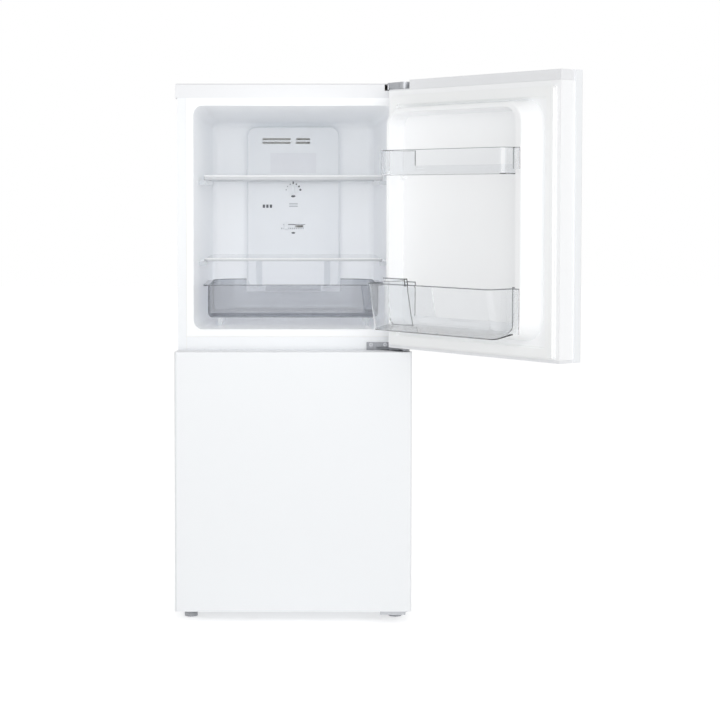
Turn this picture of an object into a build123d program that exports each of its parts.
"""A small bottom freezer refrigerator, upper door open, lower door closed. Millimetres.

Frame: X to the right seen from the front, Y to the back, Z up. The origin is the middle of the
cabinet's underside, and the feet reach below it.
"""

import os
from math import cos, radians, sin

from build123d import *

# ---------------------------------------------------------------- driving dimensions
CABINET_WIDTH = 488.0
DOOR_OVERHANG = 3.5  # how far the doors reach past the cabinet, each side
DEPTH = 590.0  # door front to back panel
FOOT_HEIGHT = 25.0  # floor to the underside of the cabinet
LOWER_DOOR_HEIGHT = 544.5
DOOR_GAP = 9.0
UPPER_DOOR_HEIGHT = 553.0
DOOR_THICKNESS = 58.0
GASKET_GAP = 8.0  # door liner to cabinet face
DOOR_OPEN = 128.0  # degrees, the upper door's stop

STEEL = 0.7  # painted sheet
LINER = 1.5  # vacuum formed sheet
PLATE = 3.0  # hinge plate
FIT = 0.2  # clearance between fixed pieces
RUNNING = 0.05  # radial clearance of a pin in its bush

TOP_COVER_HEIGHT = 30.0
FLANGE = 19.0  # front return of the side panels
SIDE_WALL = 34.0  # cabinet side to the opening
CROSSBAR_HEIGHT = 46.4
CROSSBAR_COVER = 15.3  # crossbar's edges to the openings
CEILING_WALL = 16.0  # fridge opening to the top of the shell
FLOOR_WALL = 40.0  # freezer opening to the underside
OPENING_RADIUS = 20.0
BACK_WALL = 55.0
SIDE_TAPER = 20.0  # how much each side wall comes in towards the back
CEILING_DROP = 18.0
MACHINE_DEPTH = 180.0  # machine compartment, from the back
MACHINE_HEIGHT = 215.0
STEP_WALL = (57.0, 53.0)  # insulation between machine compartment and freezer: front, top

UPPER_SPACE = 156.3  # fridge opening's top to the upper ledges
LEDGE_OVER_CRISPER = 50.7  # crisper's rim to the top of the lower ledges
LEDGE_HEIGHT = 9.0
SHELF_FRONT = 111.0  # shelf front behind the cabinet face
SHELF_REAR_GAP = 30.0  # shelf rear to the back wall
SHELF_SIDE_GAP = 16.5  # shelf's side to the wall at the opening
GLASS = 4.0
TRIM_HEIGHT = 11.0
TRIM_DEPTH = 14.0

CRISPER_LIFT = 17.0  # crisper's underside over the opening's lower edge
CRISPER_HEIGHT = 72.0
CRISPER_SIDE_GAP = 25.0  # crisper's side to the wall at the opening
CRISPER_RIM = 10.0
CRISPER_REAR_GAP = 60.0
CRISPER_BACK_RADIUS = 65.0
CRISPER_BACK_HEIGHT = 42.0  # height of the lowered middle of its back wall
TUB = 2.2  # wall of the clear tubs and bins
RAIL_INSET = (30.0, 21.0)  # crisper rail's inner and outer side from the crisper's side

COVER_HALF = 107.75  # air duct cover
COVER_INSET_Z = (66.0, 29.0)  # its ends from the opening's lower and upper edge
COVER_PROUD = 24.0
COVER_RADIUS = 20.0
COVER_WALL = 2.0
SWELL_BACK = 89.0  # half widths of the swelling at the cover's foot
SWELL_FRONT = 72.0
SWELL_HEIGHT = 75.0
SWELL_PROUD = 26.0
VENT_DROP = 32.25  # from the cover's upper end
VENT_SIZE = (66.0, 13.5)
VENT_BAR = 3.5
VENT_OFFSET = 39.0
LAMP_DROP = 83.5
LAMP_SIZE = (107.0, 46.6)
DIAL_DROP = 147.0
DIAL_RADIUS = 11.0
DIAL_PROUD = 12.0
SLIDER_DROP = 232.0
SLIDER_SLOT = (46.0, 5.0)
SLIDER_KNOB = (10.0, 13.0, 7.0)
SLIDER_START = -17.0

PIVOT_INSET = (15.5, 26.0)  # door hinge axis from the door's side and from its front
PIN_RADIUS = 4.0
PIN_REACH = 13.0
NOTCH = (66.0, 18.0)  # top hinge notch in the upper door: width and depth
HINGE_NOSE = 12.0
ARM_LIFT = 2.5  # top hinge arm over the floor of the door's notch
ARM_RIM = 2.5  # thickness of the rim turned up round the top hinge arm
SKIN_RETURN = 21.0  # how far the door's steel skin wraps round its side
SKIN_RADIUS = 6.0
LINER_INSET = 3.0  # the liner's side stands back from the skin
CAP_HEIGHT = (20.0, 6.0)  # inner face of the upper door's top and bottom caps
LOWER_CAP_HEIGHT = (14.0, 14.0)
GASKET_WIDTH = 24.0
GASKET_EDGE = 14.0  # gasket to the door's side
DYKE = 45.0  # how far the raised frame of the upper door's liner stands out
PANEL = 8.0  # how far the panel inside that frame stands out
BIN_GAP = 2.0
UPPER_BIN_DROP = 97.0  # rim below the opening's upper edge
UPPER_BIN_HEIGHT = 51.0
UPPER_BIN_FRONT = 76.0  # bin front from the door liner's face
LOWER_BIN_LIFT = 10.5  # underside over the opening's lower edge
LOWER_BIN_HEIGHT = 96.5
LOWER_BIN_FRONT = (92.0, 110.0)  # at its foot and at its rim
BIN_BACK = 20.0  # low back wall of the bins
BIN_FLANGE = (16.0, 12.5)  # flange over the raised frame: free side, hinge side
SNUGGER_WIDTH = 63.0
SNUGGER_INSET = 96.0  # centre of the bottle holder at rest from the pocket's hinge side

DRAWER_HEIGHT = 140.0  # the two upper ones; the lowest takes what is left
DRAWER_GAPS = (20.0, 15.0, 12.0)  # over the lowest, the middle and the top one
DRAWER_SIDE_GAP = 20.0  # drawer's side to the wall at the opening
DRAWER_FRONT = 45.0  # drawer front behind the cabinet face
DRAWER_RIM = 8.0

EVAPORATOR_LIFT = 37.0  # over the machine step
EVAPORATOR_HEIGHT = 100.0
COIL_SIDE_GAP = 60.0  # coil's end to the wall at the opening
FIN_COUNT = 26
FIN_THICK = 0.8
FIN_DEPTH = 32.0
TUBE_RADIUS = 4.0
TUBE_PASSES = 5
FAN_LIFT = 47.0  # fan's axis over the evaporator
FAN_RADIUS = 38.0
BLADES = 5

COMPRESSOR_INSET = 149.0  # axis from the cabinet's side
COMPRESSOR_RADIUS = 66.0
COMPRESSOR_Z = (22.0, 158.0)
FOOT_INSET = (26.0, 17.0)  # from the cabinet's side and from its face
FOOT_RADIUS = 14.0
FOOT_RIBS = 18
STUD_RADIUS = 4.0
ROLLER_INSET = (39.0, 45.0)  # from the cabinet's side and from its back
ROLLER_RADIUS = 18.0
ROLLER_WIDTH = 20.0

# ---------------------------------------------------------------- places worked out from them
DOOR_WIDTH = CABINET_WIDTH + 2 * DOOR_OVERHANG
Y_FRONT = -DEPTH / 2
Y_BACK = DEPTH / 2
Y_DOOR = Y_FRONT + DOOR_THICKNESS  # inner face of a closed door
Y_FACE = Y_DOOR + GASKET_GAP  # cabinet face
Y_WALL = Y_BACK - BACK_WALL  # fridge back wall
HALF = CABINET_WIDTH / 2
DOOR_HALF = DOOR_WIDTH / 2
OPEN_HALF = HALF - SIDE_WALL
LOWER_DOOR_Z = (1.5, 1.5 + LOWER_DOOR_HEIGHT)
UPPER_DOOR_Z = (LOWER_DOOR_Z[1] + DOOR_GAP, LOWER_DOOR_Z[1] + DOOR_GAP + UPPER_DOOR_HEIGHT)
CABINET_TOP = UPPER_DOOR_Z[1] - 2.0 - TOP_COVER_HEIGHT
TOP_ARM_Z = UPPER_DOOR_Z[1] - NOTCH[1] + ARM_LIFT
SEAM_Z = (LOWER_DOOR_Z[1] + UPPER_DOOR_Z[0]) / 2
CROSSBAR_Z = (SEAM_Z - CROSSBAR_HEIGHT / 2, SEAM_Z + CROSSBAR_HEIGHT / 2)
FRIDGE_Z = (CROSSBAR_Z[1] + CROSSBAR_COVER, CABINET_TOP - CEILING_WALL)
FREEZER_Z = (FLOOR_WALL, CROSSBAR_Z[0] - CROSSBAR_COVER)
PIVOT = (DOOR_HALF - PIVOT_INSET[0], Y_FRONT + PIVOT_INSET[1])
HINGE_AXIS = Axis((PIVOT[0], PIVOT[1], 0), (0, 0, 1))
Y_SHELF = Y_FACE + SHELF_FRONT
Y_SHELF_REAR = Y_WALL - SHELF_REAR_GAP
Y_COVER = Y_WALL - COVER_PROUD
UPPER_BIN_TOP = FRIDGE_Z[1] - UPPER_BIN_DROP
UPPER_BIN_Z = (UPPER_BIN_TOP - UPPER_BIN_HEIGHT, UPPER_BIN_TOP)
LOWER_BIN_FOOT = FRIDGE_Z[0] + LOWER_BIN_LIFT
LOWER_BIN_Z = (LOWER_BIN_FOOT, LOWER_BIN_FOOT + LOWER_BIN_HEIGHT)
CRISPER_Z = (FRIDGE_Z[0] + CRISPER_LIFT, FRIDGE_Z[0] + CRISPER_LIFT + CRISPER_HEIGHT)
CRISPER_HALF = OPEN_HALF - CRISPER_SIDE_GAP
CRISPER_DEPTH = Y_WALL - CRISPER_REAR_GAP - Y_SHELF
RAIL = (CRISPER_HALF - RAIL_INSET[0], CRISPER_HALF - RAIL_INSET[1])
SHELF_HALF = OPEN_HALF - SHELF_SIDE_GAP
LEDGE_Z = (FRIDGE_Z[1] - UPPER_SPACE, CRISPER_Z[1] + LEDGE_OVER_CRISPER)  # upper, lower
COVER_Z = (FRIDGE_Z[0] + COVER_INSET_Z[0], FRIDGE_Z[1] - COVER_INSET_Z[1])
VENT_Z = COVER_Z[1] - VENT_DROP
LAMP_Z = COVER_Z[1] - LAMP_DROP
DIAL_Z = COVER_Z[1] - DIAL_DROP
SLIDER_Z = COVER_Z[1] - SLIDER_DROP
Y_STEP = Y_BACK - MACHINE_DEPTH - STEP_WALL[0]
Z_STEP = MACHINE_HEIGHT + STEP_WALL[1]
Y_MACHINE = Y_BACK - MACHINE_DEPTH
FLOOR = -FOOT_HEIGHT
AXLE_Z = FLOOR + ROLLER_RADIUS
Y_FREEZER_DUCT = Y_WALL - 50.0
DRAWER_HALF = OPEN_HALF - DRAWER_SIDE_GAP
TOP_DRAWER = FREEZER_Z[1] - DRAWER_GAPS[2]
MIDDLE_DRAWER = TOP_DRAWER - DRAWER_HEIGHT - DRAWER_GAPS[1]
LOW_DRAWER = MIDDLE_DRAWER - DRAWER_HEIGHT - DRAWER_GAPS[0]
DRAWER_Z = (
    (FREEZER_Z[0] + 0.3, LOW_DRAWER),
    (MIDDLE_DRAWER - DRAWER_HEIGHT, MIDDLE_DRAWER),
    (TOP_DRAWER - DRAWER_HEIGHT, TOP_DRAWER),
)
EVAPORATOR_Z = (Z_STEP + EVAPORATOR_LIFT, Z_STEP + EVAPORATOR_LIFT + EVAPORATOR_HEIGHT)
FAN_Z = EVAPORATOR_Z[1] + FAN_LIFT
COMPRESSOR_X = HALF - COMPRESSOR_INSET
FOOT_X = HALF - FOOT_INSET[0]
FOOT_Y = Y_FACE + FOOT_INSET[1]
ROLLER_X = HALF - ROLLER_INSET[0]
ROLLER_Y = Y_BACK - ROLLER_INSET[1]


def at_y(y):
    """Plane across the cabinet at depth y: local x is X, local y is Z, extrude goes forward."""
    return Plane.XZ.offset(-y)


def at_z(z):
    """Level plane at height z: extrude goes up."""
    return Plane.XY.offset(z)


def at_x(x):
    """Plane from front to back at x: local x is Y, local y is Z, extrude goes right."""
    return Plane.YZ.offset(x)


def span(x0, x1, y0, y1, radius=0.0, mode=Mode.ADD):
    """A rectangle between two corners, with rounded corners if a radius is given."""
    with Locations(((x0 + x1) / 2, (y0 + y1) / 2)):
        if radius:
            RectangleRounded(x1 - x0, y1 - y0, radius, mode=mode)
        else:
            Rectangle(x1 - x0, y1 - y0, mode=mode)


def block(x, y, z, mode=Mode.ADD):
    """A box between two corners, each given as a (low, high) pair."""
    with Locations(((x[0] + x[1]) / 2, (y[0] + y[1]) / 2, (z[0] + z[1]) / 2)):
        Box(x[1] - x[0], y[1] - y[0], z[1] - z[0], mode=mode)


def tapered(y0, rect0, y1, rect1):
    """A solid between two rounded rectangles (x0, x1, z0, z1, radius) at two depths."""
    with BuildPart() as form:
        with BuildSketch(at_y(y0)):
            span(*rect0)
        with BuildSketch(at_y(y1)):
            span(*rect1)
        loft()
    return form.part


def keep(piece, name, swing=0.0):
    """Turn a piece that rides on an open door, label it and write it."""
    if swing:
        piece.part = piece.part.rotate(HINGE_AXIS, swing)
    piece.part.label = name
    export_step(piece.part, f"parts/{name}.step")


os.makedirs("parts", exist_ok=True)

# Passage of the drain tube through freezer liner, foam and machine step.
with BuildPart() as drain_passage:
    with Locations((0, Y_WALL - 22, MACHINE_HEIGHT + 20)):
        Cylinder(8.0, 120.0)

# ================================================================ cabinet shell
# Painted steel side panel with a return at the front that the gasket closes on.
with BuildPart() as side_panel_left:
    block((-HALF, -HALF + STEEL), (Y_FACE, Y_BACK - STEEL), (0, CABINET_TOP))
    block((-HALF, -HALF + FLANGE), (Y_FACE, Y_FACE + STEEL), (0, CABINET_TOP))
    block(
        (-HALF, -HALF + FLANGE - LINER),
        (Y_BACK - 2 * STEEL, Y_BACK - STEEL),
        (MACHINE_HEIGHT, CABINET_TOP),
    )
keep(side_panel_left, "side_panel_left")

with BuildPart() as side_panel_right:
    mirror(side_panel_left.part, about=Plane.YZ)
keep(side_panel_right, "side_panel_right")

# Back panel: flat sheet with two shallow pressed beads.
with BuildPart() as back_panel:
    block((-HALF, HALF), (Y_BACK - STEEL, Y_BACK), (MACHINE_HEIGHT, CABINET_TOP))
    for z in (MACHINE_HEIGHT + 205.0, MACHINE_HEIGHT + 425.0, CABINET_TOP - 216.0):
        block((-HALF + 60, HALF - 60), (Y_BACK, Y_BACK + 2.0), (z - 6, z + 6))
        block(
            (-HALF + 61, HALF - 61),
            (Y_BACK - STEEL, Y_BACK + 2.0 - STEEL),
            (z - 5, z + 5),
            Mode.SUBTRACT,
        )
keep(back_panel, "back_panel")

# Base pan with the step over the machine compartment, one bent sheet, with threaded foot inserts.
with BuildPart() as base_pan:
    inside = (-HALF + STEEL, HALF - STEEL)
    block(inside, (Y_FACE + STEEL, Y_BACK - STEEL), (0, LINER))
    block(inside, (Y_FACE + STEEL, Y_FACE + 2 * STEEL), (0, 20.0))
    block(inside, (Y_MACHINE - STEEL, Y_MACHINE), (LINER, MACHINE_HEIGHT))
    block(inside, (Y_MACHINE - STEEL, Y_BACK - 2 * STEEL), (MACHINE_HEIGHT - STEEL, MACHINE_HEIGHT))
    for x in (-FOOT_X, FOOT_X):
        with Locations((x, FOOT_Y, 9.0 + LINER)):
            Cylinder(STUD_RADIUS + 4.5, 18.0)
        with Locations((x, FOOT_Y, 0)):
            Cylinder(STUD_RADIUS + RUNNING, 60.0, mode=Mode.SUBTRACT)
    # roller pockets
    for x in (-ROLLER_X, ROLLER_X):
        half = ROLLER_WIDTH / 2 + 4.0
        reach = ROLLER_RADIUS + 4.0
        block(
            (x - half, x + half), (ROLLER_Y - reach, ROLLER_Y + reach), (-1.0, LINER + 1), Mode.SUBTRACT
        )
        for side in (-1, 1):
            cheek = sorted((x + side * half, x + side * (half + 2.0)))
            block(cheek, (ROLLER_Y - 12, ROLLER_Y + 12), (AXLE_Z - 6.0, 14.0))
        with Locations(Location((x, ROLLER_Y, AXLE_Z), (0, 90, 0))):
            Cylinder(3.0, 2 * half + 4.0)
    add(drain_passage.part, mode=Mode.SUBTRACT)
keep(base_pan, "base_pan")

MIDDLE_ARM_Z = LOWER_DOOR_Z[1] + 3.0
MIDDLE_SCREWS = [(PIVOT[0] - 68, MIDDLE_ARM_Z + 8), (PIVOT[0] - 38, MIDDLE_ARM_Z + 8)]
TOP_SCREWS = [(PIVOT[0] + x, Y_FACE + y) for x in (-50, -20) for y in (40, 66)]
BOTTOM_SCREWS = [(PIVOT[0] - 42, Y_FACE + y) for y in (8, 28)]
SCREW_HOLE = 2.6

# Crossbar between the two openings: a channel open to the back.
with BuildPart() as front_crossbar:
    z0, z1 = CROSSBAR_Z
    reach = OPEN_HALF + SIDE_WALL - FLANGE - FIT
    block((-reach, reach), (Y_FACE, Y_FACE + LINER), (z0, z1))
    block((-reach, reach), (Y_FACE, Y_FACE + 14.0), (z0, z0 + LINER))
    block((-reach, reach), (Y_FACE, Y_FACE + 14.0), (z1 - LINER, z1))
    with BuildSketch(at_y(Y_FACE + 5)):
        with Locations(*MIDDLE_SCREWS):
            Circle(SCREW_HOLE)
    extrude(amount=10.0, mode=Mode.SUBTRACT)
keep(front_crossbar, "front_crossbar")


# ================================================================ liners
def fridge_form(grow):
    """The fridge compartment's cavity, or its liner's outside when grow is the sheet."""
    z0, z1 = FRIDGE_Z
    front = OPEN_HALF + grow
    back = OPEN_HALF - SIDE_TAPER + grow
    with BuildPart() as form:
        add(
            tapered(
                Y_FACE - (0 if grow else 1.0),
                (-front, front, z0 - grow, z1 + grow, OPENING_RADIUS + grow),
                Y_WALL + grow,
                (-back, back, z0 + 1.0 - grow, z1 - CEILING_DROP + grow, OPENING_RADIUS + grow),
            )
        )
        fillet(form.faces().sort_by(Axis.Y)[-1].edges(), OPENING_RADIUS - 2 + grow)
    return form.part


def freezer_form(grow):
    """The freezer compartment's cavity, stepped over the machine compartment."""
    z0, z1 = FREEZER_Z
    front = OPEN_HALF + grow
    back = OPEN_HALF - 12.0 + grow
    with BuildPart() as form:
        add(
            tapered(
                Y_FACE - (0 if grow else 1.0),
                (-front, front, z0 - grow, z1 + grow, OPENING_RADIUS + grow),
                Y_WALL + grow,
                (-back, back, z0 - grow, z1 - 4.0 + grow, OPENING_RADIUS + grow),
            )
        )
        block((-HALF, HALF), (Y_STEP + grow, Y_BACK), (0, Z_STEP - grow), Mode.SUBTRACT)
    return form.part


fridge_outside = fridge_form(LINER)
fridge_cavity = fridge_form(0.0)
freezer_outside = freezer_form(LINER)

with BuildPart() as fridge_liner:
    reach = HALF - FLANGE - FIT
    block((-reach, reach), (Y_FACE, Y_FACE + LINER), (CROSSBAR_Z[1] + FIT, CABINET_TOP))
    add(fridge_outside)
    add(fridge_cavity, mode=Mode.SUBTRACT)
    # shelf ledges along both walls
    for top in LEDGE_Z:
        for side in (-1, 1):
            wall = sorted((side * (SHELF_HALF - 6.0), side * (OPEN_HALF + LINER - 1)))
            with BuildPart(mode=Mode.PRIVATE) as ledge:
                block(wall, (Y_SHELF + 3, Y_WALL - 12), (top - LEDGE_HEIGHT, top))
                add(fridge_outside, mode=Mode.INTERSECT)
            add(ledge.part)
    # two rails on the floor that carry the crisper
    for side in (-1, 1):
        rail = sorted((side * RAIL[0], side * RAIL[1]))
        along = (Y_SHELF + 1, Y_SHELF + CRISPER_DEPTH - 40)
        block(rail, along, (FRIDGE_Z[0] - 0.5, CRISPER_Z[0] - 0.3))
keep(fridge_liner, "fridge_liner")

with BuildPart() as freezer_liner:
    reach = HALF - FLANGE - FIT
    block((-reach, reach), (Y_FACE, Y_FACE + LINER), (20.5, CROSSBAR_Z[0] - FIT))
    add(freezer_outside)
    add(freezer_form(0.0), mode=Mode.SUBTRACT)
    # ledges that carry the two upper drawers by their rims
    for z0, z1 in DRAWER_Z[1:]:
        for side in (-1, 1):
            wall = sorted((side * (DRAWER_HALF + 1.0), side * (OPEN_HALF + LINER - 1)))
            with BuildPart(mode=Mode.PRIVATE) as ledge:
                block(wall, (Y_FACE + DRAWER_FRONT + 8, Y_FREEZER_DUCT - 10), (z1 - 18, z1 - 8.3))
                add(freezer_outside, mode=Mode.INTERSECT)
            add(ledge.part)
    add(drain_passage.part, mode=Mode.SUBTRACT)
keep(freezer_liner, "freezer_liner")

# ================================================================ cabinet foam
with BuildPart() as cabinet_foam:
    wide = (-HALF + STEEL, HALF - STEEL)
    block(wide, (Y_FACE + LINER, Y_BACK - STEEL), (LINER, CABINET_TOP))
    block(wide, (Y_MACHINE - STEEL, Y_BACK), (0, MACHINE_HEIGHT), Mode.SUBTRACT)
    # behind the turned-in rear edges of the side panels
    for side in (-1, 1):
        hem = sorted((side * HALF, side * (HALF - FLANGE + LINER)))
        block(hem, (Y_BACK - 2 * STEEL, Y_BACK), (MACHINE_HEIGHT, CABINET_TOP), Mode.SUBTRACT)
    add(fridge_outside, mode=Mode.SUBTRACT)
    add(freezer_outside, mode=Mode.SUBTRACT)
    block(wide, (Y_FACE, Y_FACE + 14.0 + FIT), CROSSBAR_Z, Mode.SUBTRACT)
    for x in (-FOOT_X, FOOT_X):
        with Locations((x, FOOT_Y, 10.0)):
            Cylinder(STUD_RADIUS + 4.5, 20.0 + LINER, mode=Mode.SUBTRACT)
    add(drain_passage.part, mode=Mode.SUBTRACT)
keep(cabinet_foam, "cabinet_foam")

# ================================================================ top cover
ARM_SLOT = (PIVOT[0] - 40.0, HALF + 2.0)
with BuildPart() as top_cover:
    half = HALF + 4.0
    block((-half, half), (Y_FACE - 2.0, Y_BACK), (CABINET_TOP, CABINET_TOP + TOP_COVER_HEIGHT))
    top_edges = top_cover.faces().sort_by(Axis.Z)[-1].edges()
    fillet(top_edges, 4.0)
    block(
        (-half + 2.5, half - 2.5),
        (Y_FACE + 0.5, Y_BACK - 2.5),
        (CABINET_TOP - 1, CABINET_TOP + TOP_COVER_HEIGHT - 2.5),
        Mode.SUBTRACT,
    )
    # ribs that carry the lid on the cabinet
    for y in (Y_FACE + 109.0, 0.0, Y_BACK - 175.0, Y_BACK - 65.0):
        block(
            (-half + 2, 60.0), (y - 1, y + 1), (CABINET_TOP, CABINET_TOP + TOP_COVER_HEIGHT - 2)
        )
    block(
        ARM_SLOT,
        (Y_FACE - 5, Y_FACE + 4),
        (TOP_ARM_Z - 1.5, TOP_ARM_Z + PLATE + 9.0),
        Mode.SUBTRACT,
    )
keep(top_cover, "top_cover")

# Control board on its carrier under the top cover.
with BuildPart() as control_board:
    x0, y0 = HALF - 164.0, Y_BACK - 255.0
    block((x0, x0 + 120), (y0, y0 + 80), (CABINET_TOP + 4, CABINET_TOP + 5.6))
    with Locations(*[(x0 + dx, y0 + dy, CABINET_TOP + 2) for dx in (6, 114) for dy in (6, 74)]):
        Cylinder(3.0, 4.0)
    # relay, transformer, capacitor row and connector: place, width, depth, height
    components = (
        (20, 20, 24, 20, 16),
        (60, 24, 18, 28, 14),
        (95, 40, 12, 40, 10),
        (40, 60, 30, 10, 6),
    )
    for x, y, w, d, h in components:
        block(
            (x0 + x - w / 2, x0 + x + w / 2),
            (y0 + y - d / 2, y0 + y + d / 2),
            (CABINET_TOP + 5.6, CABINET_TOP + 5.6 + h),
        )
keep(control_board, "control_board")


# ================================================================ air duct, lamp, controls
def cover_form(inset):
    """The duct cover's outside, or the hollow behind it when inset is its wall."""
    half = COVER_HALF - inset
    z0, z1 = COVER_Z[0] + inset, COVER_Z[1] - inset
    with BuildPart() as form:
        with BuildSketch(at_y(Y_WALL + (1.0 if inset else -0.2))):
            span(-half, half, z0, z1, COVER_RADIUS - inset)
        extrude(amount=COVER_PROUD - inset + (1.0 if inset else -0.2))
        if not inset:
            fillet(form.faces().sort_by(Axis.Y)[0].edges(), 3.0)
        swell_back = SWELL_BACK - inset
        swell_front = SWELL_FRONT - inset
        add(
            tapered(
                Y_COVER - SWELL_PROUD + inset,
                (-swell_front, swell_front, z0, COVER_Z[0] + SWELL_HEIGHT - 8 - inset, 5.0),
                Y_COVER + 4.0,
                (-swell_back, swell_back, z0, COVER_Z[0] + SWELL_HEIGHT - inset, 5.0),
            )
        )
    return form.part


with BuildPart() as duct_cover:
    add(cover_form(0.0))
    add(cover_form(COVER_WALL), mode=Mode.SUBTRACT)
    through = (Y_COVER - 5, Y_COVER + 8)
    slat = (VENT_SIZE[1] - VENT_BAR) / 2
    # the left vent is open all along, the right one over its inner half
    for x0, x1 in (
        (-VENT_OFFSET - VENT_SIZE[0] / 2, -VENT_OFFSET + VENT_SIZE[0] / 2),
        (VENT_OFFSET - VENT_SIZE[0] / 2, VENT_OFFSET),
    ):
        for z in (VENT_Z - VENT_SIZE[1] / 2, VENT_Z + VENT_BAR / 2):
            block((x0, x1), through, (z, z + slat), Mode.SUBTRACT)
    block(
        (VENT_OFFSET + 2, VENT_OFFSET + VENT_SIZE[0] / 2),
        (Y_COVER - 1, Y_COVER + 0.8),
        (VENT_Z - VENT_SIZE[1] / 2, VENT_Z + VENT_SIZE[1] / 2),
        Mode.SUBTRACT,
    )
    w, h = LAMP_SIZE
    block((-w / 2, w / 2), through, (LAMP_Z - h / 2, LAMP_Z + h / 2), Mode.SUBTRACT)
    with Locations(Location((0, Y_COVER, DIAL_Z), (90, 0, 0))):
        Cylinder(3.0 + RUNNING, 20.0, mode=Mode.SUBTRACT)
        Cylinder(DIAL_RADIUS + 1.0, 2.0, mode=Mode.SUBTRACT)
    w, h = SLIDER_SLOT
    recess = (-w / 2 - 6, w / 2 + 6)
    block(recess, (Y_COVER - 1, Y_COVER + 0.8), (SLIDER_Z - 8, SLIDER_Z + 8), Mode.SUBTRACT)
    block((-w / 2, w / 2), through, (SLIDER_Z - h / 2, SLIDER_Z + h / 2), Mode.SUBTRACT)
    # its rear edge follows the liner's rounded corner
    add(Pos(0, -FIT, 0) * fridge_cavity, mode=Mode.INTERSECT)
keep(duct_cover, "duct_cover")

# Foam duct behind the cover, with its air channel and room for lamp, dial and slider.
with BuildPart() as air_duct:
    half = COVER_HALF - COVER_WALL - 1.0
    with BuildSketch(at_y(Y_WALL - 0.5)):
        span(-half, half, COVER_Z[0] + 80, COVER_Z[1] - 8, COVER_RADIUS - COVER_WALL)
    extrude(amount=COVER_PROUD - 7.5)
    channel = (Y_COVER + 6, Y_COVER + 17)
    for x in (-VENT_OFFSET, VENT_OFFSET):
        block((x - 30, x + 30), channel, (COVER_Z[0] + 90, COVER_Z[1] - 18), Mode.SUBTRACT)
keep(air_duct, "air_duct")

with BuildPart() as lamp_lens:
    w, h = LAMP_SIZE[0] - 2 * FIT, LAMP_SIZE[1] - 2 * FIT
    block((-w / 2, w / 2), (Y_COVER, Y_COVER + 2.0), (LAMP_Z - h / 2, LAMP_Z + h / 2))
    # lip behind the cover
    lip = (LAMP_Z - h / 2 - 3, LAMP_Z + h / 2 + 3)
    block((-w / 2 - 3, w / 2 + 3), (Y_COVER + 2.0, Y_COVER + 3.0), lip)
keep(lamp_lens, "lamp_lens")

with BuildPart() as led_board:
    block((-48, 48), (Y_COVER + 5.0, Y_COVER + 6.6), (LAMP_Z - 12, LAMP_Z + 12))
    for k in range(6):
        x = -40 + 16 * k
        block((x - 1.5, x + 1.5), (Y_COVER + 4.0, Y_COVER + 5.0), (LAMP_Z - 1.5, LAMP_Z + 1.5))
keep(led_board, "led_board")

# Temperature dial: knob with a finger rib, and its shaft.
with BuildPart() as temperature_dial:
    with BuildSketch(at_y(Y_COVER + 0.5)):
        with Locations((0, DIAL_Z)):
            Circle(DIAL_RADIUS)
    extrude(amount=4.0, taper=4)
    with BuildSketch(at_y(Y_COVER - 3.4)):
        with Locations((0, DIAL_Z)):
            RectangleRounded(6.0, 2 * DIAL_RADIUS - 3.0, 2.9)
    extrude(amount=DIAL_PROUD - 4.0, taper=6)
    with BuildSketch(at_y(Y_COVER + 6.5)):
        with Locations((0, DIAL_Z)):
            Circle(3.0)
    extrude(amount=6.5)
keep(temperature_dial, "temperature_dial")

# Airflow slider: knob in front, neck through the slot, shutter plate behind the cover.
with BuildPart() as airflow_slider:
    w, h, proud = SLIDER_KNOB
    x = SLIDER_START
    y = Y_COVER + 0.4
    block((x - w / 2, x + w / 2), (y - proud, y), (SLIDER_Z - h / 2, SLIDER_Z + h / 2))
    fillet(airflow_slider.faces().sort_by(Axis.Y)[0].edges(), 1.5)
    neck = SLIDER_SLOT[1] / 2 - 0.4
    block((x - 3, x + 3), (y, Y_COVER + COVER_WALL + 0.4), (SLIDER_Z - neck, SLIDER_Z + neck))
    shutter = (Y_COVER + COVER_WALL + 0.3, Y_COVER + COVER_WALL + 1.8)
    block((x - 22, x + 22), shutter, (SLIDER_Z - 10, SLIDER_Z + 10))
keep(airflow_slider, "airflow_slider")

# ================================================================ shelves and crisper
UPPER_GLASS_Z = (LEDGE_Z[0] + 5.0, LEDGE_Z[0] + 5.0 + GLASS)
SHELF_BACK_HALF = SHELF_HALF - 4.5  # the shelves narrow with the walls


def shelf_plan(inset):
    """Outline of a shelf seen from above, inside a sketch: straight, then narrowing to the back."""
    x0, x1 = SHELF_HALF - inset, SHELF_BACK_HALF - inset
    y0, y1 = Y_SHELF + inset, Y_SHELF_REAR - inset
    Polygon((-x0, y0), (x0, y0), (x0, y1 - 90), (x1, y1), (-x1, y1), (-x0, y1 - 90), align=None)


with BuildPart() as upper_shelf_glass:
    with BuildSketch(at_z(UPPER_GLASS_Z[0])):
        shelf_plan(3.0)
    extrude(amount=GLASS)
    fillet(upper_shelf_glass.edges().filter_by(Axis.Z), 5.0)
keep(upper_shelf_glass, "upper_shelf_glass")

# Moulded trims that grip the glass at its front and rear edges and stand on the ledges.
with BuildPart() as upper_shelf_trims:
    low = LEDGE_Z[0] + 0.3
    block((-SHELF_HALF, SHELF_HALF), (Y_SHELF, Y_SHELF + TRIM_DEPTH), (low, low + TRIM_HEIGHT))
    fillet(upper_shelf_trims.faces().sort_by(Axis.Y)[0].edges().filter_by(Axis.X), 3.0)
    fillet(upper_shelf_trims.edges().filter_by(Axis.Z).sort_by(Axis.Y)[:2], 3.0)
    back = (-SHELF_BACK_HALF + 0.5, SHELF_BACK_HALF - 0.5)
    block(back, (Y_SHELF_REAR - 10, Y_SHELF_REAR), (low, low + TRIM_HEIGHT))
    add(upper_shelf_glass.part, mode=Mode.SUBTRACT)
keep(upper_shelf_trims, "upper_shelf_trims")

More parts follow.
